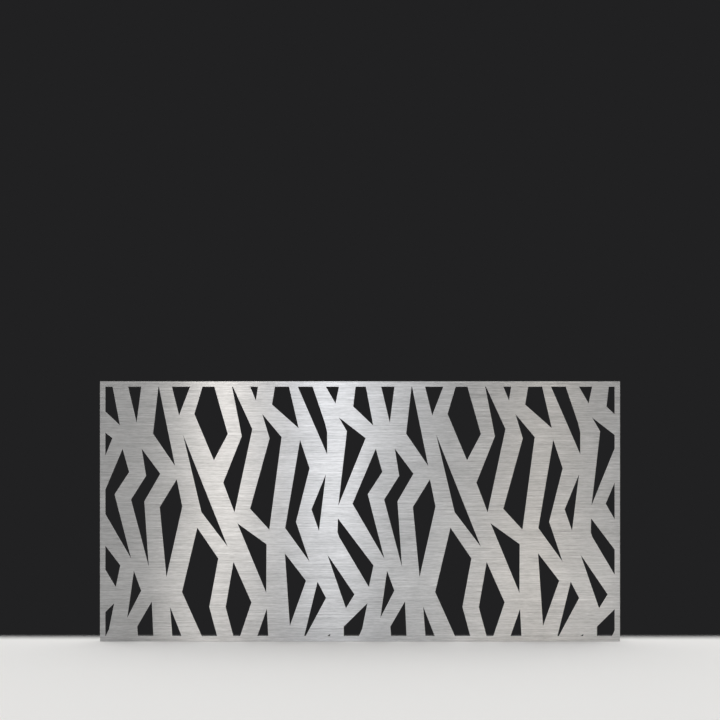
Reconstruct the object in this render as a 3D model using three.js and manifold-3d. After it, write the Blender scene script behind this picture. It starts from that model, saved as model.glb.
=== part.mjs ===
// Laser cut metal screen: a brushed stainless sheet with an irregular lattice of slanted bars,
// clamped by weld studs and nuts to a mitred frame of rolled angle that its border hides.
// Millimetres, +Z up, front towards -Y, origin at the middle of the lower edge.

import * as THREE from "three";
import { mergeVertices } from "three/addons/utils/BufferGeometryUtils.js";
import Module from "manifold-3d";

const wasm = await Module();
wasm.setup();

// Face sheet
const width = 2000;
const height = 1000;
const sheetThickness = 2;

// Cut pattern: one tile, repeated across the sheet and mirrored where it repeats up the sheet
const repeatWidth = 974;
const repeatHeight = 1000;

// Frame of rolled equal angle; the sheet's uncut border is as wide as the leg that lies behind it
const angleLeg = 20;
const angleThickness = 3;
const rootRadius = 3.5;
const toeRadius = 1.75;
const mitreGap = 0.3; // root gap of each corner weld
const border = angleLeg;

// M5 weld studs on the back of the sheet, with washers and nuts
const studDiameter = 5;
const studLength = 12;
const studTipChamfer = 0.6;
const flangeDiameter = 6.5;
const flangeHeight = 0.8;
const flangeClearance = 0.25; // round the flange in its hole
const washerDiameter = 10;
const washerThickness = 1;
const washerClearance = 0.75; // from the washer's rim to the root fillet
const boreClearance = 0.2; // round the stud in washer and nut
const nutAcrossFlats = 8;
const nutHeight = 4;
const nutChamferAngle = 30;
const longSideStuds = 6;
const shortSideStuds = 2;
const cornerStudInset = 50; // from a corner to the nearest stud on a long side

// Holes for M6 fixing screws in the legs that face outwards
const fixingHoleDiameter = 6.5;
const longSideFixings = 4;
const shortSideFixings = 2;
const cornerFixingInset = 240;

// Facets
const holeFacets = 16;
const turnedFacets = 16;
const filletFacets = 4;
const overcut = 1; // how far a cutter passes the face that it cuts

const depth = sheetThickness + angleLeg;
const sheetBack = sheetThickness - depth / 2;
const flangeHoleRadius = flangeDiameter / 2 + flangeClearance;
const boreRadius = studDiameter / 2 + boreClearance;
const studInset = angleThickness + rootRadius + washerClearance + washerDiameter / 2;
const fixingDepth = sheetBack + (angleThickness + rootRadius + angleLeg) / 2;

// Openings of one tile, in thousandths of its width and height from its lower left corner. Those that
// reach its top or bottom edge run on into the next tile, or stop at the border.
const tileGridCount = 1000;
const openings = [
  // along the top
  [[11.5, 1000], [46, 1000], [79, 830.5], [0, 903.5]],
  [[105.5, 1000], [165.5, 1000], [144.5, 841]],
  [[231, 987], [296.5, 674.5], [209, 799]],
  [[278.5, 1000], [363.5, 1000], [312, 869]],
  [[410.5, 1000], [445.5, 1000], [504.5, 798], [449.5, 696.5], [372.5, 875]],
  [[518.5, 993], [601.5, 817], [531, 496], [486.5, 611], [559.5, 789]],
  [[584.5, 1000], [627, 1000], [615.5, 926]],
  [[694, 1000], [741.5, 1000], [784.5, 820], [679, 911]],
  [[772, 1000], [832.5, 1000], [889, 838], [897, 804], [897, 719]],
  [[880, 1000], [948, 1000], [930, 915]],
  // across the middle
  [[89, 741.5], [115, 651.5], [57.5, 566], [123, 318], [-3, 529.5]],
  [[164, 742], [238, 645], [175, 539], [192.5, 287], [122, 545.5], [181.5, 637]],
  [[303, 624], [325, 519], [262, 247], [235.5, 517]],
  [[327.5, 796], [504, 364.5], [400.5, 497]],
  [[640.5, 875], [717, 786], [668.5, 429.5], [592.5, 510], [669.5, 781]],
  [[790, 776], [827.5, 666], [774, 460], [827, 307], [731, 436]],
  [[892, 643], [864.5, 425], [835, 508]],
  [[943.5, 861.5], [1049, 782], [941, 522], [975, 808]],
  [[939.5, 473.5], [1080, 292.5], [1062, 208.5], [944.5, 401], [938, 420]],
  // along the bottom
  [[133.5, 272], [162.5, 195], [107, 90]],
  [[56, 147], [35.5, 47.5], [12.5, 0], [-37.5, 0], [-37.5, 57]],
  [[204.5, 154], [211.5, 0], [150.5, 0], [146.5, 57]],
  [[276.5, 133], [330.5, 0], [286.5, 0]],
  [[384, 437.5], [467, 319], [431.5, 133], [468, 0], [411, 0], [323.5, 190]],
  [[527, 306], [598, 150], [546.5, 0], [532, 0], [496, 132]],
  [[542.5, 454.5], [657.5, 374], [656.5, 186.5]],
  [[659, 126], [665.5, 0], [613.5, 0]],
  [[730, 339], [813.5, 233.5], [749.5, 59]],
  [[859, 229.5], [892.5, 167], [801, 0]],
  [[898, 334], [1005, 181], [971, 127]],
  [[863.5, 0], [909.5, 29], [906.5, 0]],
];

function toSolid(geometry) {
  geometry.deleteAttribute("normal");
  geometry.deleteAttribute("uv");
  const merged = mergeVertices(geometry);
  return new wasm.Manifold(new wasm.Mesh({
    numProp: 3,
    vertProperties: merged.attributes.position.array,
    triVerts: Uint32Array.from(merged.index.array),
  }));
}

function toGeometry(solid) {
  const { vertProperties, triVerts } = solid.getMesh();
  const geometry = new THREE.BufferGeometry();
  geometry.setAttribute("position", new THREE.BufferAttribute(vertProperties, 3));
  geometry.setIndex(new THREE.BufferAttribute(triVerts, 1));
  geometry.computeVertexNormals();
  return geometry;
}

function namedMesh(name, geometry, color, roughness) {
  const look = { color, roughness, metalness: 1, flatShading: true };
  const mesh = new THREE.Mesh(geometry, new THREE.MeshStandardMaterial(look));
  mesh.name = name;
  return mesh;
}

// Evenly spaced places from first to last, both included
function evenly(first, last, count) {
  const step = count > 1 ? (last - first) / (count - 1) : 0;
  return Array.from({ length: count }, (_, i) => first + i * step);
}

// The sheet is drawn in its own plane, x across and y up, and its thickness rises towards the front
function faceSheet() {
  const extrusion = { depth: sheetThickness, bevelEnabled: false };
  const plate = new THREE.Shape([
    new THREE.Vector2(-width / 2, 0),
    new THREE.Vector2(width / 2, 0),
    new THREE.Vector2(width / 2, height),
    new THREE.Vector2(-width / 2, height),
  ]);
  const cutDepth = sheetThickness + 2 * overcut;
  const pattern = new THREE.BoxGeometry(width - 2 * border, height - 2 * border, cutDepth);
  pattern.translate(0, height / 2, sheetThickness / 2);
  const prisms = [];
  for (let row = 0; row * repeatHeight < height; row += 1) {
    for (let column = -1; column * repeatWidth < width; column += 1) {
      for (const outline of openings) {
        prisms.push(toSolid(patternPrism(outline, column, row)));
      }
    }
  }
  const cuts = prisms.reduce((all, prism) => all.add(prism)).intersect(toSolid(pattern));
  const sheet = toSolid(new THREE.ExtrudeGeometry(plate, extrusion)).subtract(cuts);
  const mesh = namedMesh("face_sheet", toGeometry(sheet), 0xb9b8b5, 0.32);
  mesh.rotation.x = Math.PI / 2;
  mesh.position.y = sheetBack;
  return mesh;
}

// One opening of the pattern in the given column and row of tiles; every second row is mirrored
function patternPrism(outline, column, row) {
  const corners = outline.map(([x, z]) => {
    const across = (column + x / tileGridCount) * repeatWidth - width / 2;
    const up = (row % 2 ? row + 1 - z / tileGridCount : row + z / tileGridCount) * repeatHeight;
    return new THREE.Vector2(across, up);
  });
  const extrusion = { depth: sheetThickness + 2 * overcut, bevelEnabled: false };
  return new THREE.ExtrudeGeometry(new THREE.Shape(corners), extrusion).translate(0, 0, -overcut);
}

// Rolled angle, x inwards from the sheet's edge, y to the back and z along its length.
// Each end vertex is drawn back by its own distance from the edge, which mitres both ends.
function mitredAngle(name, length, studs, fixings) {
  const profile = new THREE.Shape();
  const leg = angleLeg;
  const wall = angleThickness;
  profile.moveTo(0, 0);
  profile.lineTo(leg, 0);
  profile.lineTo(leg, wall - toeRadius);
  profile.absarc(leg - toeRadius, wall - toeRadius, toeRadius, 0, Math.PI / 2);
  profile.lineTo(wall + rootRadius, wall);
  profile.absarc(wall + rootRadius, wall + rootRadius, rootRadius, -Math.PI / 2, -Math.PI, true);
  profile.lineTo(wall, leg - toeRadius);
  profile.absarc(wall - toeRadius, leg - toeRadius, toeRadius, 0, Math.PI / 2);
  profile.lineTo(0, leg);
  const extrusion = { depth: length, bevelEnabled: false, curveSegments: filletFacets };
  const bar = new THREE.ExtrudeGeometry(profile, extrusion);
  const point = bar.attributes.position;
  for (let i = 0; i < point.count; i += 1) {
    const setback = point.getX(i) + mitreGap / 2;
    point.setZ(i, point.getZ(i) > length / 2 ? length - setback : setback);
  }
  bar.translate(0, sheetBack, 0);
  let angle = toSolid(bar);
  const holeLength = wall + 2 * overcut;
  for (const along of studs) {
    const cutter = new THREE.CylinderGeometry(flangeHoleRadius, flangeHoleRadius, holeLength, holeFacets);
    cutter.translate(studInset, sheetBack + wall / 2, along);
    angle = angle.subtract(toSolid(cutter));
  }
  for (const along of fixings) {
    const radius = fixingHoleDiameter / 2;
    const cutter = new THREE.CylinderGeometry(radius, radius, holeLength, holeFacets);
    cutter.rotateZ(Math.PI / 2);
    cutter.translate(wall / 2, fixingDepth, along);
    angle = angle.subtract(toSolid(cutter));
  }
  return namedMesh(name, toGeometry(angle), 0x9b9a97, 0.45);
}

// Flanged weld stud, standing on its flange
function weldStud() {
  const radius = studDiameter / 2;
  const profile = [
    [0, 0],
    [flangeDiameter / 2, 0],
    [flangeDiameter / 2, flangeHeight],
    [radius, flangeHeight],
    [radius, studLength - studTipChamfer],
    [radius - studTipChamfer, studLength],
    [0, studLength],
  ];
  return new THREE.LatheGeometry(profile.map(([r, y]) => new THREE.Vector2(r, y)), turnedFacets);
}

function plainWasher() {
  const rim = washerDiameter / 2;
  const profile = [
    [boreRadius, 0],
    [rim, 0],
    [rim, washerThickness],
    [boreRadius, washerThickness],
    [boreRadius, 0],
  ];
  return new THREE.LatheGeometry(profile.map(([r, y]) => new THREE.Vector2(r, y)), turnedFacets);
}

// Hexagon with its corners turned off at the chamfer angle, above and below, and a plain bore
function hexNut() {
  const corner = nutAcrossFlats / 2 / Math.cos(Math.PI / 6);
  const face = nutAcrossFlats / 2;
  const drop = (corner - face) * Math.tan(THREE.MathUtils.degToRad(nutChamferAngle));
  const turned = [
    [0, 0],
    [face, 0],
    [corner, drop],
    [corner, nutHeight - drop],
    [face, nutHeight],
    [0, nutHeight],
  ];
  const hexagon = new THREE.CylinderGeometry(corner, corner, nutHeight, 6).translate(0, nutHeight / 2, 0);
  const blank = new THREE.LatheGeometry(turned.map(([r, y]) => new THREE.Vector2(r, y)), turnedFacets);
  const bore = new THREE.CylinderGeometry(boreRadius, boreRadius, nutHeight + 2 * overcut, turnedFacets);
  bore.translate(0, nutHeight / 2, 0);
  return toGeometry(toSolid(hexagon).intersect(toSolid(blank)).subtract(toSolid(bore)));
}

// Going round the sheet from the lower left corner: each side's own frame stands in the corner where it
// starts, with x inwards and z along the side
const sides = [
  { name: "left", long: false, x: -width / 2, z: 0, turns: 0 },
  { name: "top", long: true, x: -width / 2, z: height, turns: 1 },
  { name: "right", long: false, x: width / 2, z: height, turns: 2 },
  { name: "bottom", long: true, x: width / 2, z: 0, turns: 3 },
];

const stud = weldStud();
const washer = plainWasher();
const nut = hexNut();
const washerSeat = sheetBack + angleThickness;
const nutSeat = washerSeat + washerThickness;

const screen = new THREE.Group();
screen.add(faceSheet());
for (const side of sides) {
  const length = side.long ? width : height;
  // the short sides share the corner studs of the long ones, so theirs stand between those
  const studs = side.long
    ? evenly(cornerStudInset, length - cornerStudInset, longSideStuds)
    : evenly(studInset, length - studInset, shortSideStuds + 2).slice(1, -1);
  const fixingCount = side.long ? longSideFixings : shortSideFixings;
  const fixings = evenly(cornerFixingInset, length - cornerFixingInset, fixingCount);
  const group = new THREE.Group();
  group.position.set(side.x, 0, side.z);
  group.rotation.y = side.turns * Math.PI / 2;
  group.add(mitredAngle(`${side.name}_angle`, length, studs, fixings));
  studs.forEach((along, i) => {
    const fasteners = [
      namedMesh(`${side.name}_stud_${i + 1}`, stud, 0xa9a8a4, 0.35),
      namedMesh(`${side.name}_washer_${i + 1}`, washer, 0xb4b3af, 0.3),
      namedMesh(`${side.name}_nut_${i + 1}`, nut, 0xb0afab, 0.3),
    ];
    const seats = [sheetBack, washerSeat, nutSeat];
    fasteners.forEach((fastener, j) => {
      fastener.position.set(studInset, seats[j], along);
      group.add(fastener);
    });
  });
  screen.add(group);
}

export default screen;
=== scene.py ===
"""Laser cut metal screen: a brushed stainless lattice sheet on a mitred frame of steel angle."""

import math
import random

import bmesh
import bpy
from mathutils import Matrix, Vector


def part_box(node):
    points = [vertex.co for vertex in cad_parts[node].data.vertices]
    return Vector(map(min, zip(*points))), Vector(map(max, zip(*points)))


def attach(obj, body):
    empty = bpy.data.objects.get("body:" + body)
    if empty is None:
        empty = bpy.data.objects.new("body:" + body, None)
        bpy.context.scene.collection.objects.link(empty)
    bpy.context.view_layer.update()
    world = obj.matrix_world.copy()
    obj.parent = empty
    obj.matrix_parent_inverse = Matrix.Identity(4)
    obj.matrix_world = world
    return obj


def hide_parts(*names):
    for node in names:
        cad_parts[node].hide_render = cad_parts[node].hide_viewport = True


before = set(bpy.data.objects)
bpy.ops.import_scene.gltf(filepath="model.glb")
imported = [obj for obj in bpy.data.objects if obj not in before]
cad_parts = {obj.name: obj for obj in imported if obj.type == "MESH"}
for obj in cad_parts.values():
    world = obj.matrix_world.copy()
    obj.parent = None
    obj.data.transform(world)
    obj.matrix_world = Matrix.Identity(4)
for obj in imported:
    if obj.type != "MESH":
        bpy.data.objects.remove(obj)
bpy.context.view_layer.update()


# The camera stands square in front of the screen and looks level along +Y, from a little above its top.
# Its height and its lens put the sheet's left, right and lower edges where the photograph has them.
IMAGE_SIDE_PX = 720
SHEET_LEFT_PX = 100.0
SHEET_RIGHT_PX = 619.93
SHEET_FOOT_PX = 641.41
CAMERA_DISTANCE = 8.0
CAMERA_REACH = 500.0

sheet_low, sheet_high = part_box("face_sheet")
metres_per_px = (sheet_high.x - sheet_low.x) / (SHEET_RIGHT_PX - SHEET_LEFT_PX)
camera_height = (SHEET_FOOT_PX - IMAGE_SIDE_PX / 2) * metres_per_px
bpy.ops.object.camera_add(
    location=(0, sheet_low.y - CAMERA_DISTANCE, camera_height),
    rotation=(math.radians(90), 0, 0),
)
camera = bpy.context.object
camera.data.lens = camera.data.sensor_width * CAMERA_DISTANCE / (IMAGE_SIDE_PX * metres_per_px)
camera.data.clip_end = CAMERA_REACH
bpy.context.scene.camera = camera
bpy.context.scene.view_settings.view_transform = "Standard"


# Floor and room: a wide sheet of pale matt card takes the screen's shadow and thins out to nothing just
# behind it. The camera sees the room in front of the screen as pale as the card and the room behind it as
# a charcoal backdrop, but the light that the room gives is white from behind and pale grey from in front.
FLOOR_WHITE = "#EDECEA"
FLOOR_SIZE = 400.0
FLOOR_BEHIND = 0.2
FLOOR_FADE = 0.18
ROOM_SEEN = "#E6E5E3"
BACKDROP = "#212122"
ROOM_GREY = "#AAAAAB"
ROOM_WHITE = "#F9F9F9"
# a direction counts from -1, straight out in front of the screen, to 1, straight out behind it
BACKDROP_TURN = (0.15, 0.45)
ROOM_TURN = (-0.3, 0.3)


def linear(hex_colour):
    """A colour written as sRGB hex, as the linear red, green, blue and alpha that a shader takes."""
    parts = [int(hex_colour[i : i + 2], 16) / 255 for i in (1, 3, 5)]
    return [c / 12.92 if c <= 0.04045 else ((c + 0.055) / 1.055) ** 2.4 for c in parts] + [1.0]


def add_node(tree, kind, inputs=None, **settings):
    """Adds a shader node, sets its properties, and gives each listed input a value or a link."""
    node = tree.nodes.new("ShaderNode" + kind)
    for name, value in settings.items():
        setattr(node, name, value)
    for name, value in (inputs or {}).items():
        if isinstance(value, bpy.types.NodeSocket):
            tree.links.new(value, node.inputs[name])
        else:
            node.inputs[name].default_value = value
    return node


def new_material(name):
    """An empty material and its node tree."""
    material = bpy.data.materials.new(name)
    material.use_nodes = True
    tree = material.node_tree
    tree.nodes.clear()
    return material, tree


def matt_card():
    """Matt card: a plain pale diffuse surface, thinned out softly along its far edge."""
    material, tree = new_material("matt_card")
    place = add_node(tree, "TexCoord").outputs["Object"]
    backwards = add_node(tree, "SeparateXYZ", {"Vector": place}).outputs["Y"]
    far_edge = FLOOR_SIZE / 2
    inputs = {"Value": backwards, "From Min": far_edge - FLOOR_FADE, "From Max": far_edge}
    thinned = add_node(tree, "MapRange", inputs, interpolation_type="SMOOTHSTEP").outputs["Result"]
    card = add_node(tree, "BsdfDiffuse", {"Color": linear(FLOOR_WHITE)}).outputs["BSDF"]
    gone = add_node(tree, "BsdfTransparent").outputs["BSDF"]
    surface = add_node(tree, "MixShader", {0: thinned, 1: card, 2: gone}).outputs["Shader"]
    add_node(tree, "OutputMaterial", {"Surface": surface})
    return material


bpy.ops.mesh.primitive_plane_add(size=FLOOR_SIZE, location=(0, FLOOR_BEHIND - FLOOR_SIZE / 2, 0))
floor = bpy.context.object
floor.name = "floor"
floor.data.materials.append(matt_card())

world = bpy.data.worlds.new("room")
world.use_nodes = True
room = world.node_tree
room.nodes.clear()
direction = add_node(room, "TexCoord").outputs["Generated"]
backwards = add_node(room, "SeparateXYZ", {"Vector": direction}).outputs["Y"]


def from_front_to_back(front, back, turn):
    """A colour that turns softly from that in front of the screen to that behind it."""
    inputs = {"Value": backwards, "From Min": turn[0], "From Max": turn[1]}
    share = add_node(room, "MapRange", inputs, interpolation_type="SMOOTHSTEP").outputs["Result"]
    inputs = {"Fac": share, "Color1": linear(front), "Color2": linear(back)}
    return add_node(room, "MixRGB", inputs).outputs["Color"]


seen = from_front_to_back(ROOM_SEEN, BACKDROP, BACKDROP_TURN)
light = from_front_to_back(ROOM_GREY, ROOM_WHITE, ROOM_TURN)
is_seen = add_node(room, "LightPath").outputs["Is Camera Ray"]
chosen = add_node(room, "MixRGB", {"Fac": is_seen, "Color1": light, "Color2": seen}).outputs["Color"]
lit = add_node(room, "Background", {"Color": chosen}).outputs["Background"]
add_node(room, "OutputWorld", {"Surface": lit})
bpy.context.scene.world = world


# Soft lamps: tall strips in front of the screen, which a horizontally brushed face draws out into
# upright bands of light, low ones and near ones that light its foot, and a soft light from above.
STRIPS = [
    # name, place across, distance, width, bottom and top in metres, level, colour
    ("left_strip", -0.72, 3.0, 0.24, 0.0, 1.0, 3.0, "#FFF9F2"),
    ("left_top", -0.72, 3.0, 0.24, 1.0, 3.2, 2.1, "#FFF9F2"),
    ("left_foot", -0.72, 3.0, 0.40, 0.0, 0.3, 1.0, "#FFF9F2"),
    ("left_near", -0.75, 1.0, 0.25, 0.0, 0.15, 1.3, "#FFF9F2"),
    ("middle_strip", -0.10, 3.0, 0.20, 0.0, 1.0, 3.4, "#F8FAFF"),
    ("middle_left", -0.30, 3.0, 0.20, 0.0, 1.0, 1.0, "#F1F5FF"),
    ("middle_top", -0.30, 3.0, 0.20, 1.0, 3.2, 1.5, "#F1F5FF"),
    ("middle_fill", -0.05, 3.0, 0.80, 1.0, 3.2, 1.1, "#F5F8FF"),
    ("middle_near", 0.25, 1.0, 0.25, 0.0, 0.15, 0.9, "#FFFFFF"),
    ("right_foot", 0.50, 3.0, 0.40, 0.0, 0.3, 1.1, "#FFFFFF"),
    ("right_middle_foot", 0.90, 3.0, 0.40, 0.0, 0.3, 2.1, "#FFF1DE"),
    ("right_edge_foot", 1.30, 3.0, 0.40, 0.0, 0.3, 0.7, "#FFFCF8"),
    ("right_near", 0.75, 1.0, 0.75, 0.0, 0.15, 1.6, "#FFF8F0"),
    ("right_top", 1.02, 3.0, 0.16, 1.0, 3.2, 1.0, "#FFF1DE"),
]
OVERHEAD_HEIGHT = 4.0
OVERHEAD_LEVEL = 0.25
OVERHEAD_SPREAD = math.radians(80)


def soft_strip(name, across, distance, width, bottom, top, level, colour):
    """A lamp that shows only as a reflection in metal; at level 1 its face is white."""
    place = (across, sheet_low.y - distance, (bottom + top) / 2)
    bpy.ops.object.light_add(type="AREA", location=place, rotation=(math.radians(90), 0, 0))
    lamp = bpy.context.object
    lamp.name = name
    lamp.data.shape = "RECTANGLE"
    lamp.data.size = width
    lamp.data.size_y = top - bottom
    lamp.data.energy = level * math.pi * width * (top - bottom)
    lamp.data.color = linear(colour)[:3]
    lamp.visible_camera = False
    lamp.visible_diffuse = False


for strip in STRIPS:
    soft_strip(*strip)

bpy.ops.object.light_add(type="SUN", location=(0, 0, OVERHEAD_HEIGHT))
overhead = bpy.context.object
overhead.name = "overhead"
overhead.data.energy = OVERHEAD_LEVEL * math.pi
overhead.data.angle = OVERHEAD_SPREAD


# Face sheet: 2 mm 304 stainless steel, brushed to a No. 4 finish along its length, laser cut and deburred.
# The brushing runs straight across borders and bars, because the sheet is brushed before it is cut.
# Its back keeps the mill's dull 2B finish, and carries the weld studs that hold it to the frame.
MM = 0.001
DEBURR = 0.45 * MM
DEBURR_SEGMENTS = 2
MERGE_DISTANCE = 0.01 * MM
FLAT_ANGLE = math.radians(0.5)
FACE, BACK, CUT, RIM = range(4)
FINISH_BY_FACING = {-1: FACE, 0: CUT, 1: BACK}


def marks(tree, across_mm, deep_mm, up_mm, detail=2.0):
    """A cloudy pattern on a piece, in which a mark is about so many millimetres long along each axis."""
    place = add_node(tree, "TexCoord").outputs["Object"]
    scale = (1000 / across_mm, 1000 / deep_mm, 1000 / up_mm)
    scaled = add_node(tree, "Mapping", {"Vector": place, "Scale": scale}).outputs["Vector"]
    inputs = {"Vector": scaled, "Scale": 1.0, "Detail": detail, "Roughness": 0.6}
    return add_node(tree, "TexNoise", inputs).outputs["Fac"]


def steel(tree, colour, roughness, relief, span=0.3, **sockets):
    """Bare steel, wired to the output. Its colour, roughness and relief each follow a pattern of marks."""
    # the colour goes from dark to light over the middle span of the pattern's values
    pattern, dark, light = colour
    ramp = add_node(tree, "ValToRGB", {"Fac": pattern})
    for stop, side, shade in zip(ramp.color_ramp.elements, (-1, 1), (dark, light)):
        stop.position = 0.5 + side * span / 2
        stop.color = linear(shade)
    pattern, at_low, at_high = roughness
    inputs = {"Value": pattern, "From Min": 0.3, "From Max": 0.7, "To Min": at_low, "To Max": at_high}
    worn = add_node(tree, "MapRange", inputs)
    pattern, height_mm = relief
    inputs = {"Height": pattern, "Distance": height_mm * MM, "Strength": 1.0}
    raised = add_node(tree, "Bump", inputs)
    inputs = {
        "Base Color": ramp.outputs["Color"],
        "Metallic": 1.0,
        "Roughness": worn.outputs["Result"],
        "Normal": raised.outputs["Normal"],
    }
    inputs.update(sockets)
    metal = add_node(tree, "BsdfPrincipled", inputs)
    add_node(tree, "OutputMaterial", {"Surface": metal.outputs["BSDF"]})


def brushed_304():
    """304 stainless, No. 4 brushed: fine level scratches, which spread reflections up and down."""
    material, tree = new_material("brushed_304")
    # the scratches are drawn 1 to 4 mm apart, five times their real spacing, so that they show
    long_scratches = marks(tree, 300, 50, 1.5)
    short_scratches = marks(tree, 45, 50, 1.2)
    hairlines = marks(tree, 18, 50, 0.35, 1)
    clouds = marks(tree, 260, 260, 90)
    coarse = add_node(tree, "Mix", {"Factor": 0.45, "A": long_scratches, "B": short_scratches})
    brushed = add_node(tree, "Mix", {"Factor": 0.3, "A": coarse.outputs["Result"], "B": hairlines})
    shaded = add_node(tree, "Mix", {"Factor": 0.1, "A": brushed.outputs["Result"], "B": clouds})
    lines = shaded.outputs["Result"]
    steel(
        tree,
        colour=(lines, "#858585", "#DBDBDB"),
        roughness=(lines, 0.31, 0.29),
        relief=(hairlines, 0.004),
        span=0.29,
        Anisotropic=0.9,
        Tangent=add_node(tree, "CombineXYZ", {"Z": 1.0}).outputs["Vector"],
    )
    return material


def mill_2b_304():
    """304 stainless as the mill leaves it, 2B: smooth, dull and faintly cloudy, with long roll lines."""
    material, tree = new_material("mill_2b_304")
    clouds = marks(tree, 120, 60, 60, 4)
    roll_lines = marks(tree, 700, 50, 9)
    rolled = add_node(tree, "Mix", {"Factor": 0.25, "A": clouds, "B": roll_lines}).outputs["Result"]
    steel(tree, (rolled, "#AAAAA9", "#BCBCBB"), (clouds, 0.36, 0.5), (clouds, 0.02))
    return material


def laser_cut_304():
    """A nitrogen laser cut through 304: bright silver with fine striations from front to back."""
    material, tree = new_material("laser_cut_304")
    # striations about 0.6 mm apart, twice their real spacing, so that they show
    striations = marks(tree, 0.6, 9, 0.6)
    steel(tree, (striations, "#8E8C88", "#C9C7C3"), (striations, 0.3, 0.48), (striations, 0.03))
    return material


def deburred_304():
    """The edge of a cut, rounded and polished by the deburring wheel: brighter than the brushed face."""
    material, tree = new_material("deburred_304")
    wear = marks(tree, 14, 14, 14, 3)
    steel(tree, (wear, "#D2D1CF", "#EBEAE8"), (wear, 0.2, 0.32), (wear, 0.01))
    return material


def finished(piece, body, slot, materials, *nodes):
    """Gives a piece its materials and the body that carries it, and hides the nodes that it stands for.
    Its slot is not used.
    """
    for material in materials:
        piece.data.materials.append(material)
    if nodes:
        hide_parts(*nodes)
    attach(piece, body)


bpy.ops.object.select_all(action="DESELECT")
brushed_sheet = bpy.data.objects.new("brushed_sheet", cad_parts["face_sheet"].data.copy())
brushed_sheet.data.materials.clear()
bpy.context.collection.objects.link(brushed_sheet)
brushed_sheet.select_set(True)
bpy.context.view_layer.objects.active = brushed_sheet
bpy.ops.object.mode_set(mode="EDIT")
bpy.ops.mesh.select_all(action="SELECT")
bpy.ops.mesh.remove_doubles(threshold=MERGE_DISTANCE)
bpy.ops.mesh.dissolve_limited(angle_limit=FLAT_ANGLE)
bpy.ops.object.mode_set(mode="OBJECT")
finished(
    brushed_sheet,
    "root",
    "brushed_sheet",
    [brushed_304(), mill_2b_304(), laser_cut_304(), deburred_304()],
    "face_sheet",
)
for face in brushed_sheet.data.polygons:
    face.material_index = FINISH_BY_FACING[round(face.normal.y)]
deburr = brushed_sheet.modifiers.new("deburr", "BEVEL")
deburr.width = DEBURR
deburr.segments = DEBURR_SEGMENTS
deburr.limit_method = "ANGLE"
deburr.material = RIM
bpy.ops.object.modifier_apply(modifier=deburr.name)


# Angle frame: four lengths of 20 x 20 x 3 mm hot-rolled 304 angle, pickled to a dull satin, mitred at
# the corners. One leg lies on the back of the sheet, the other faces outwards, flush with its edge.
# The flat leg is drilled for the studs of the sheet, the outer one for M6 fixing screws.
ANGLE_LEG = 20 * MM
ANGLE_WALL = 3 * MM
ROOT_RADIUS = 3.5 * MM
ROOT_SEGMENTS = 7
TOE_RADIUS = 1.75 * MM
TOE_SEGMENTS = 6
HEEL_RADIUS = 0.4 * MM
HEEL_SEGMENTS = 2
MITRE_GAP = 0.3 * MM
STUD_HOLE_RADIUS = 3.5 * MM
FIXING_HOLE_RADIUS = 3.25 * MM
# halfway between the root radius and the edge of the outer leg, along the depth axis
FIXING_HOLE_DEPTH = 4.25 * MM
HOLE_CHAMFER = 0.3 * MM
CORNER_FIXING_INSET = 240 * MM
LONG_SIDE_FIXINGS = 4
SHORT_SIDE_FIXINGS = 2
ROUND_SIDES = 48
SMOOTH_ANGLE = math.radians(30)
NEAR = 0.005 * MM
ON_PLANE = 0.0005 * MM
# a face looks along an axis when its normal reaches this far along it
FACING = 0.9

leg_front = sheet_high.y
leg_back = leg_front + ANGLE_WALL
# each side's own frame stands in the corner where it starts, with x inwards and z along the side
SIDES = [
    # name, long, corner, quarter turns
    ("left", False, (sheet_low.x, 0, sheet_low.z), 0),
    ("top", True, (sheet_low.x, 0, sheet_high.z), 1),
    ("right", False, (sheet_high.x, 0, sheet_high.z), 2),
    ("bottom", True, (sheet_high.x, 0, sheet_low.z), 3),
]


def pick(kind, test):
    """In edit mode, selects just the verts, edges or faces that pass the test."""
    bpy.context.tool_settings.mesh_select_mode = [kind == k for k in ("verts", "edges", "faces")]
    bpy.ops.mesh.select_all(action="DESELECT")
    mesh = bmesh.from_edit_mesh(bpy.context.object.data)
    for part in getattr(mesh, kind):
        part.select = test(part)
    mesh.select_flush_mode()
    bmesh.update_edit_mesh(bpy.context.object.data)


def angle_bar(start, length):
    """A plain length of rolled angle in a side's own frame, in edit mode, all selected."""
    bpy.ops.object.select_all(action="DESELECT")
    middle = (ANGLE_LEG / 2, leg_front + ANGLE_WALL / 2, start + length / 2)
    bpy.ops.mesh.primitive_cube_add(size=1, location=middle, scale=(ANGLE_LEG, ANGLE_WALL, length))
    bpy.ops.object.transform_apply()
    bpy.ops.object.mode_set(mode="EDIT")
    bpy.ops.mesh.select_all(action="SELECT")
    bpy.ops.mesh.bisect(plane_co=(ANGLE_WALL, 0, 0), plane_no=(1, 0, 0), threshold=ON_PLANE)
    pick("faces", lambda face: face.normal.y > FACING and face.calc_center_median().x < ANGLE_WALL)
    rise = (0, ANGLE_LEG - ANGLE_WALL, 0)
    bpy.ops.mesh.extrude_region_move(TRANSFORM_OT_translate={"value": rise})
    leg_end = leg_front + ANGLE_LEG
    roundings = [
        (ANGLE_WALL, leg_back, ROOT_RADIUS, ROOT_SEGMENTS),
        (ANGLE_LEG, leg_back, TOE_RADIUS, TOE_SEGMENTS),
        (ANGLE_WALL, leg_end, TOE_RADIUS, TOE_SEGMENTS),
        (0, leg_front, HEEL_RADIUS, HEEL_SEGMENTS),
        (ANGLE_LEG, leg_front, HEEL_RADIUS, HEEL_SEGMENTS),
        (0, leg_end, HEEL_RADIUS, HEEL_SEGMENTS),
    ]
    for x, y, radius, segments in roundings:
        pick("edges", lambda edge: all(math.dist(vert.co.xy, (x, y)) < NEAR for vert in edge.verts))
        bpy.ops.mesh.bevel(offset=radius, segments=segments, affect="EDGES")
    bpy.ops.mesh.select_all(action="SELECT")
    return bpy.context.object


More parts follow.
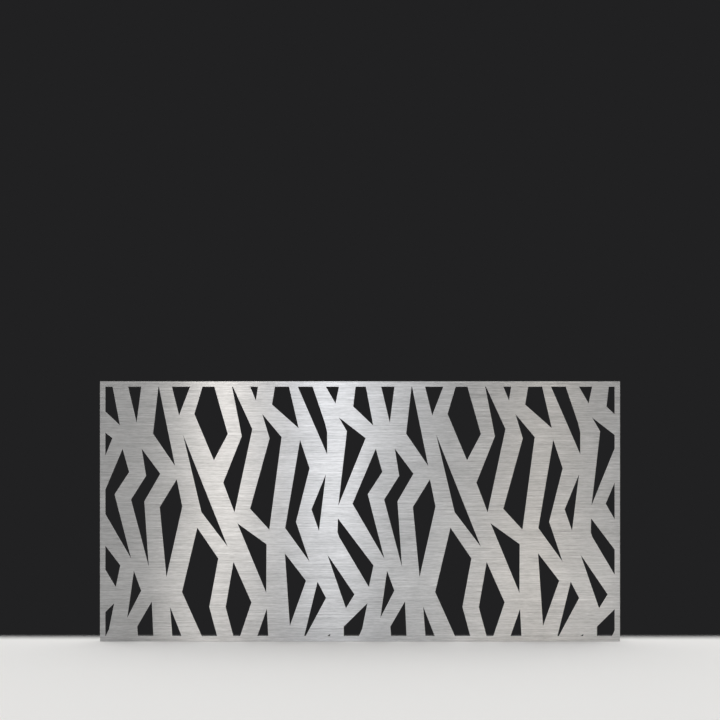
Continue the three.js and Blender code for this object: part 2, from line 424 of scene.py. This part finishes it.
def cut_off(place, direction):
    """In edit mode, cuts away what lies on the given side of a plane, and closes the cut."""
    bpy.ops.mesh.select_all(action="SELECT")
    bpy.ops.mesh.bisect(
        plane_co=place, plane_no=direction, threshold=ON_PLANE, use_fill=True, clear_outer=True
    )


def hole_cutter(radius, place, turn):
    """A drill with a flare at each end, which leaves a small chamfer round the hole in a wall."""
    straight = ANGLE_WALL - 2 * HOLE_CHAMFER
    bpy.ops.mesh.primitive_cylinder_add(vertices=ROUND_SIDES, radius=radius, depth=straight)
    bpy.ops.object.mode_set(mode="EDIT")
    # a flare starts one chamfer inside the wall and ends one outside it
    flare = 2 * HOLE_CHAMFER
    widen = 1 + flare / radius
    for end in (-1, 1):
        pick("faces", lambda face: face.normal.z * end > FACING)
        bpy.ops.mesh.extrude_region_move(TRANSFORM_OT_translate={"value": (0, 0, end * flare)})
        bpy.ops.transform.resize(value=(widen, widen, 1), center_override=(0, 0, 0))
    bpy.ops.object.mode_set(mode="OBJECT")
    cutter = bpy.context.object
    cutter.location = place
    cutter.rotation_euler = turn
    bpy.ops.object.transform_apply()
    return cutter


def apply_boolean(piece, tools, operation):
    """Cuts or trims a piece with the tool objects, removes them and clears the slivers that they leave."""
    bpy.ops.object.select_all(action="DESELECT")
    for tool in tools:
        tool.select_set(True)
    bpy.context.view_layer.objects.active = tools[0]
    if len(tools) > 1:
        bpy.ops.object.join()
    trim = piece.modifiers.new("trim", "BOOLEAN")
    trim.operation = operation
    trim.solver = "EXACT"
    trim.object = tools[0]
    bpy.context.view_layer.objects.active = piece
    bpy.ops.object.modifier_apply(modifier=trim.name)
    bpy.data.objects.remove(tools[0])
    piece.select_set(True)
    bpy.ops.object.mode_set(mode="EDIT")
    bpy.ops.mesh.select_all(action="SELECT")
    bpy.ops.mesh.remove_doubles(threshold=NEAR)
    bpy.ops.mesh.dissolve_degenerate(threshold=NEAR)
    bpy.ops.object.mode_set(mode="OBJECT")


def smooth_curves(piece):
    """Smooth shading on rounded stretches, with flat faces kept flat."""
    bpy.ops.object.select_all(action="DESELECT")
    piece.select_set(True)
    bpy.context.view_layer.objects.active = piece
    bpy.ops.object.shade_smooth_by_angle(angle=SMOOTH_ANGLE)
    weighted = piece.modifiers.new("weighted", "WEIGHTED_NORMAL")
    weighted.keep_sharp = True
    bpy.ops.object.modifier_apply(modifier=weighted.name)


def drilled_angle(length, studs, fixings):
    """An angle with both ends mitred and its holes drilled, in a side's own frame."""
    bar = angle_bar(0, length)
    cut_off((0, 0, MITRE_GAP / 2), (1, 0, -1))
    cut_off((0, 0, length - MITRE_GAP / 2), (1, 0, 1))
    bpy.ops.object.mode_set(mode="OBJECT")
    along_y = (math.radians(90), 0, 0)
    along_x = (0, math.radians(90), 0)
    half_wall = ANGLE_WALL / 2
    cutters = []
    for z in studs:
        cutters.append(hole_cutter(STUD_HOLE_RADIUS, (stud_inset, leg_front + half_wall, z), along_y))
    for z in fixings:
        cutters.append(hole_cutter(FIXING_HOLE_RADIUS, (half_wall, FIXING_HOLE_DEPTH, z), along_x))
    apply_boolean(bar, cutters, "DIFFERENCE")
    smooth_curves(bar)
    return bar


def placed_copy(pattern, name, place, turn):
    """A copy with its own mesh, turned about the depth axis and put in its place."""
    piece = pattern.copy()
    piece.data = pattern.data.copy()
    piece.name = name
    bpy.context.collection.objects.link(piece)
    piece.data.transform(Matrix.Translation(place) @ Matrix.Rotation(turn, 4, "Y"))
    return piece


def middle_of(node):
    """The middle of a CAD node's box."""
    low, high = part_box(node)
    return (low + high) / 2


def pickled_304():
    """Hot-rolled 304 angle after pickling: a dull pale grey satin, cloudy, with a fine grain."""
    material, tree = new_material("pickled_304")
    clouds = marks(tree, 34, 34, 34, 5)
    grain = marks(tree, 1.2, 1.2, 1.2, 3)
    skin = add_node(tree, "Mix", {"Factor": 0.3, "A": clouds, "B": grain}).outputs["Result"]
    steel(tree, (skin, "#85837F", "#A9A7A3"), (skin, 0.42, 0.62), (grain, 0.04))
    return material


stud_inset = middle_of("left_stud_1").x - sheet_low.x
angle_finish = pickled_304()
patterns = {}
for side, is_long, corner, quarter_turns in SIDES:
    turn = math.radians(90) * quarter_turns
    if is_long not in patterns:
        along = "x" if is_long else "z"
        start = getattr(sheet_low, along)
        length = getattr(sheet_high, along) - start
        nodes = sorted(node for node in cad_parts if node.startswith(f"{side}_stud_"))
        studs = [getattr(middle_of(node), along) - start for node in nodes]
        count = LONG_SIDE_FIXINGS if is_long else SHORT_SIDE_FIXINGS
        step = (length - 2 * CORNER_FIXING_INSET) / (count - 1)
        fixings = [CORNER_FIXING_INSET + step * i for i in range(count)]
        patterns[is_long] = drilled_angle(length, studs, fixings)
    bar = placed_copy(patterns[is_long], f"{side}_angle_bar", corner, turn)
    finished(bar, "root", "rolled_angle", [angle_finish], f"{side}_angle")
for pattern in patterns.values():
    bpy.data.objects.remove(pattern)


# Corner welds: TIG welds that close the mitres of the angle frame, ground flush outside and left as a
# rippled bead inside, up the corner of the outer legs and across the flat ones. They join the angles.
BEAD_RADIUS = 1.8 * MM
BEAD_SINK = 1.15 * MM
BEAD_CORNER_SINK = 0.3 * MM
BEAD_START_INSET = 0.9 * MM
BEAD_END_INSET = 1.6 * MM
# where the bead turns up round the root, from the flat legs into the corner of the outer ones
TURN_START_INSET = 0.5 * MM
TURN_MIDDLE_INSET = 0.7 * MM
TURN_MIDDLE_HEIGHT = 1.0 * MM
TURN_END_HEIGHT = 3.6 * MM
RIPPLE_STEP = 0.7 * MM
RIPPLE_SQUASH = 0.8
RIPPLE_WANDER = 0.12 * MM
RIPPLE_SEGMENTS = 20
RIPPLE_RINGS = 12
BEAD_VOXEL = 0.2 * MM
BEAD_FLOW = 4
WELD_LAP = 0.02 * MM
WELDER_SEED = 5


def weld_304():
    """TIG weld metal after pickling: paler and smoother than the angle, with a trace of straw tint."""
    material, tree = new_material("weld_304")
    tint = marks(tree, 6, 6, 6, 3)
    ripple = marks(tree, 0.5, 0.5, 0.5)
    steel(tree, (tint, "#9A8E7C", "#B9B5AE"), (tint, 0.34, 0.5), (ripple, 0.03))
    return material


def bead_path():
    """Places and directions of the ripples: in along the flat legs, round the root and up the corner."""
    inner = ANGLE_LEG - BEAD_START_INSET
    flat = leg_back - BEAD_SINK
    turn_start = ANGLE_WALL + ROOT_RADIUS - TURN_START_INSET
    corner = ANGLE_WALL - BEAD_CORNER_SINK
    turn_middle = corner + TURN_MIDDLE_INSET
    corners = [
        Vector((inner, flat, inner)),
        Vector((turn_start, flat, turn_start)),
        Vector((turn_middle, leg_back + TURN_MIDDLE_HEIGHT, turn_middle)),
        Vector((corner, leg_back + TURN_END_HEIGHT, corner)),
        Vector((corner, leg_front + ANGLE_LEG - BEAD_END_INSET, corner)),
    ]
    ripples = []
    for start, end in zip(corners, corners[1:]):
        run = end - start
        count = max(1, round(run.length / RIPPLE_STEP))
        ripples += [(start + run * i / count, run.normalized()) for i in range(count)]
    return ripples


def corner_weld():
    """The weld of the corner where a side's own frame stands."""
    # the filler is the slice of a bar that fills the gap between the mitres, lapped a little into both
    filler = angle_bar(-ANGLE_LEG, 3 * ANGLE_LEG)
    reach = MITRE_GAP / 2 + WELD_LAP
    cut_off((0, 0, -reach), (1, 0, -1))
    cut_off((0, 0, reach), (-1, 0, 1))
    cut_off((0, 0, 0), (0, 0, -1))
    bpy.ops.object.mode_set(mode="OBJECT")
    chance = random.Random(WELDER_SEED)
    ripples = []
    for place, direction in bead_path():
        bpy.ops.mesh.primitive_uv_sphere_add(
            segments=RIPPLE_SEGMENTS, ring_count=RIPPLE_RINGS, radius=BEAD_RADIUS, location=place
        )
        ripple = bpy.context.object
        wander = [chance.uniform(-RIPPLE_WANDER, RIPPLE_WANDER) for _ in range(3)]
        ripple.location = place + Vector(wander)
        ripple.scale = (1, 1, RIPPLE_SQUASH)
        ripple.rotation_euler = direction.to_track_quat("Z", "Y").to_euler()
        ripples.append(ripple)
    for ripple in ripples:
        ripple.select_set(True)
    bpy.ops.object.join()
    bead = bpy.context.object
    bpy.ops.object.transform_apply()
    bead.data.remesh_voxel_size = BEAD_VOXEL
    bpy.ops.object.voxel_remesh()
    flow = bead.modifiers.new("flow", "SMOOTH")
    flow.iterations = BEAD_FLOW
    bpy.ops.object.modifier_apply(modifier=flow.name)
    bpy.ops.object.shade_smooth()
    filler.select_set(True)
    bpy.context.view_layer.objects.active = filler
    bead.select_set(True)
    bpy.ops.object.join()
    return filler


weld_finish = weld_304()
weld = corner_weld()
weld_names = ["lower_left_weld", "upper_left_weld", "upper_right_weld", "lower_right_weld"]
for name, (_, _, corner, quarter_turns) in zip(weld_names, SIDES):
    piece = placed_copy(weld, name, corner, math.radians(90) * quarter_turns)
    finished(piece, "root", "rolled_angle", [weld_finish])
bpy.data.objects.remove(weld)


# Weld studs: M5 flanged studs of A2 stainless, with a rolled thread and a chamfered tip, shot on to the
# back of the sheet by a capacitor discharge. They pass through the flat legs and hold the sheet there.
STUD_RADIUS = 2.5 * MM
THREAD_PITCH = 0.8 * MM
THREAD_DEPTH = 0.42 * MM
THREAD_STEPS = 24
SPARE_TURNS = 2
TIP_CHAMFER = 0.6 * MM
FLANGE_RADIUS = 3.25 * MM
FLANGE_HEIGHT = 0.8 * MM
FLANGE_SIDES = 40
# a piece is made standing up along z, and then laid to point backwards along y
LAID_BACKWARDS = Matrix.Rotation(math.radians(-90), 4, "X")
# each of a set of like pieces is turned this many radians further round than the one before it
TURN_BETWEEN = 2.4


def rolled_a2():
    """A2 stainless with a rolled thread: bright and smooth, with a little cutting oil dulling it."""
    material, tree = new_material("rolled_a2")
    film = marks(tree, 2, 2, 2, 3)
    steel(tree, (film, "#A19E98", "#C4C2BD"), (film, 0.2, 0.36), (film, 0.01))
    return material


def threaded_stud(length):
    """A stud standing on the origin along the depth axis."""
    root = STUD_RADIUS - THREAD_DEPTH
    # one pitch of the thread's outline: an edge cut in four, its middle pushed out, then screwed round
    bpy.ops.object.select_all(action="DESELECT")
    bpy.ops.mesh.primitive_plane_add(size=THREAD_PITCH, location=(root + THREAD_PITCH / 2, 0, 0))
    bpy.ops.transform.rotate(value=math.radians(90), orient_axis="X", center_override=(0, 0, 0))
    bpy.ops.object.transform_apply()
    bpy.ops.object.mode_set(mode="EDIT")
    pick("verts", lambda vert: vert.co.x > root + NEAR)
    bpy.ops.mesh.delete(type="VERT")
    bpy.ops.mesh.select_all(action="SELECT")
    bpy.ops.mesh.subdivide(number_cuts=3)
    pick("verts", lambda vert: -NEAR < vert.co.z < THREAD_PITCH / 2 - NEAR)
    bpy.ops.transform.translate(value=(THREAD_DEPTH, 0, 0))
    bpy.ops.object.mode_set(mode="OBJECT")
    stud = bpy.context.object
    screw = stud.modifiers.new("thread", "SCREW")
    screw.steps = screw.render_steps = THREAD_STEPS
    screw.iterations = math.ceil(length / THREAD_PITCH) + SPARE_TURNS
    screw.screw_offset = THREAD_PITCH
    screw.use_merge_vertices = True
    screw.merge_threshold = NEAR
    bpy.ops.object.modifier_apply(modifier=screw.name)
    bpy.ops.object.mode_set(mode="EDIT")
    bpy.ops.mesh.select_all(action="SELECT")
    bpy.ops.mesh.remove_doubles(threshold=NEAR)
    bpy.ops.transform.translate(value=(0, 0, -THREAD_PITCH / 2))
    cut_off((0, 0, FLANGE_HEIGHT / 2), (0, 0, -1))
    cut_off((0, 0, length + THREAD_PITCH / 2), (0, 0, 1))
    bpy.ops.mesh.select_all(action="SELECT")
    bpy.ops.mesh.normals_make_consistent(inside=False)
    bpy.ops.object.mode_set(mode="OBJECT")
    # the blank that the tip is trimmed to, wider than the thread except at its chamfer
    bpy.ops.mesh.primitive_cylinder_add(
        vertices=ROUND_SIDES,
        radius=STUD_RADIUS + TIP_CHAMFER,
        depth=length,
        location=(0, 0, length / 2),
    )
    bpy.ops.object.transform_apply()
    bpy.ops.object.mode_set(mode="EDIT")
    pick("faces", lambda face: face.normal.z > FACING)
    bpy.ops.mesh.bevel(offset=2 * TIP_CHAMFER, segments=1, affect="EDGES")
    bpy.ops.object.mode_set(mode="OBJECT")
    apply_boolean(stud, [bpy.context.object], "INTERSECT")
    bpy.ops.mesh.primitive_cylinder_add(
        vertices=FLANGE_SIDES,
        radius=FLANGE_RADIUS,
        depth=FLANGE_HEIGHT,
        location=(0, 0, FLANGE_HEIGHT / 2),
    )
    flange = bpy.context.object
    bpy.ops.object.select_all(action="DESELECT")
    flange.select_set(True)
    stud.select_set(True)
    bpy.context.view_layer.objects.active = stud
    bpy.ops.object.join()
    stud.data.transform(LAID_BACKWARDS)
    smooth_curves(stud)
    return stud


stud_low, stud_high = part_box("left_stud_1")
stud_finish = rolled_a2()
stud = threaded_stud(stud_high.y - stud_low.y)
stud_nodes = [node for node in sorted(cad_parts) if "_stud_" in node]
for number, node in enumerate(stud_nodes):
    middle = middle_of(node)
    place = (middle.x, stud_low.y, middle.z)
    name = node.replace("stud", "threaded_stud")
    piece = placed_copy(stud, name, place, TURN_BETWEEN * number)
    finished(piece, "root", "weld_stud", [stud_finish], node)
bpy.data.objects.remove(stud)


# Washers and nuts: A2 stainless M5 plain washers, punched from strip, and M5 hexagon nuts, cold formed,
# chamfered on both faces. They clamp the flat legs to the sheet; each nut stops where it came tight.
WASHER_RADIUS = 5 * MM
WASHER_HEIGHT = 1 * MM
WASHER_BORE_RADIUS = 2.7 * MM
WASHER_EDGE = 0.15 * MM
WASHER_EDGE_SEGMENTS = 2
WASHER_EDGE_ANGLE = math.radians(60)
HEXAGON_SIDES = 6
NUT_FLAT_RADIUS = 4 * MM
NUT_HEIGHT = 4 * MM
NUT_FACE_INSET = 0.06 * MM
NUT_CHAMFER = math.radians(30)
NUT_BLANK_MARGIN = 1 * MM
NUT_BLANK_SIDES = 96
NUT_BORE_RADIUS = 2.45 * MM
NUT_COUNTERSINK = 0.35 * MM


def tumbled_a2():
    """A2 stainless fasteners, tumbled bright: a soft shine broken up by small dents."""
    material, tree = new_material("tumbled_a2")
    dents = marks(tree, 1.5, 1.5, 1.5, 4)
    steel(tree, (dents, "#A9A7A2", "#CAC8C4"), (dents, 0.2, 0.38), (dents, 0.03))
    return material


def washer_ring():
    """A washer lying on the origin, its axis along z."""
    bpy.ops.mesh.primitive_cylinder_add(
        vertices=ROUND_SIDES,
        radius=WASHER_RADIUS,
        depth=WASHER_HEIGHT,
        location=(0, 0, WASHER_HEIGHT / 2),
    )
    bpy.ops.object.transform_apply()
    bpy.ops.object.mode_set(mode="EDIT")
    pick("faces", lambda face: abs(face.normal.z) > FACING)
    bpy.ops.mesh.inset(thickness=WASHER_RADIUS - WASHER_BORE_RADIUS, use_individual=True)
    bpy.ops.mesh.bridge_edge_loops()
    bpy.ops.object.mode_set(mode="OBJECT")
    washer = bpy.context.object
    edges = washer.modifiers.new("edges", "BEVEL")
    edges.width = WASHER_EDGE
    edges.segments = WASHER_EDGE_SEGMENTS
    edges.limit_method = "ANGLE"
    edges.angle_limit = WASHER_EDGE_ANGLE
    bpy.ops.object.modifier_apply(modifier=edges.name)
    return washer


def turned_blank(radius, height, end_radius, end_height, sides):
    """A cylinder on the origin with a cone at each end, its axis along z."""
    bpy.ops.mesh.primitive_cylinder_add(
        vertices=sides,
        radius=radius,
        depth=height - 2 * end_height,
        location=(0, 0, height / 2),
    )
    bpy.ops.object.transform_apply()
    bpy.ops.object.mode_set(mode="EDIT")
    widen = end_radius / radius
    for end in (-1, 1):
        pick("faces", lambda face: face.normal.z * end > FACING)
        bpy.ops.mesh.extrude_region_move(TRANSFORM_OT_translate={"value": (0, 0, end * end_height)})
        bpy.ops.transform.resize(value=(widen, widen, 1), center_override=(0, 0, 0))
    bpy.ops.object.mode_set(mode="OBJECT")
    return bpy.context.object


def hexagon_nut():
    """A nut lying on the origin, its axis along z."""
    corner_radius = NUT_FLAT_RADIUS / math.cos(math.pi / HEXAGON_SIDES)
    bpy.ops.mesh.primitive_cylinder_add(
        vertices=HEXAGON_SIDES,
        radius=corner_radius,
        depth=NUT_HEIGHT,
        location=(0, 0, NUT_HEIGHT / 2),
    )
    bpy.ops.object.transform_apply()
    nut = bpy.context.object
    blank_radius = corner_radius + NUT_BLANK_MARGIN
    face_radius = NUT_FLAT_RADIUS - NUT_FACE_INSET
    drop = (blank_radius - face_radius) * math.tan(NUT_CHAMFER)
    blank = turned_blank(blank_radius, NUT_HEIGHT, face_radius, drop, NUT_BLANK_SIDES)
    apply_boolean(nut, [blank], "INTERSECT")
    flare = 2 * NUT_COUNTERSINK
    bore = turned_blank(NUT_BORE_RADIUS, NUT_HEIGHT + flare, NUT_BORE_RADIUS + flare, flare, ROUND_SIDES)
    bore.data.transform(Matrix.Translation((0, 0, -NUT_COUNTERSINK)))
    apply_boolean(nut, [bore], "DIFFERENCE")
    return nut


fastener_finish = tumbled_a2()
fasteners = [
    # node's kind, shown kind, shape
    ("washer", "plain_washer", washer_ring),
    ("nut", "hexagon_nut", hexagon_nut),
]
for kind, shown_kind, shape in fasteners:
    pattern = shape()
    pattern.data.transform(LAID_BACKWARDS)
    smooth_curves(pattern)
    for number, stud_node in enumerate(stud_nodes):
        node = stud_node.replace("stud", kind)
        middle = middle_of(node)
        place = (middle.x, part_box(node)[0].y, middle.z)
        name = node.replace(kind, shown_kind)
        piece = placed_copy(pattern, name, place, TURN_BETWEEN * number)
        finished(piece, "root", "fastener", [fastener_finish], node)
    bpy.data.objects.remove(pattern)
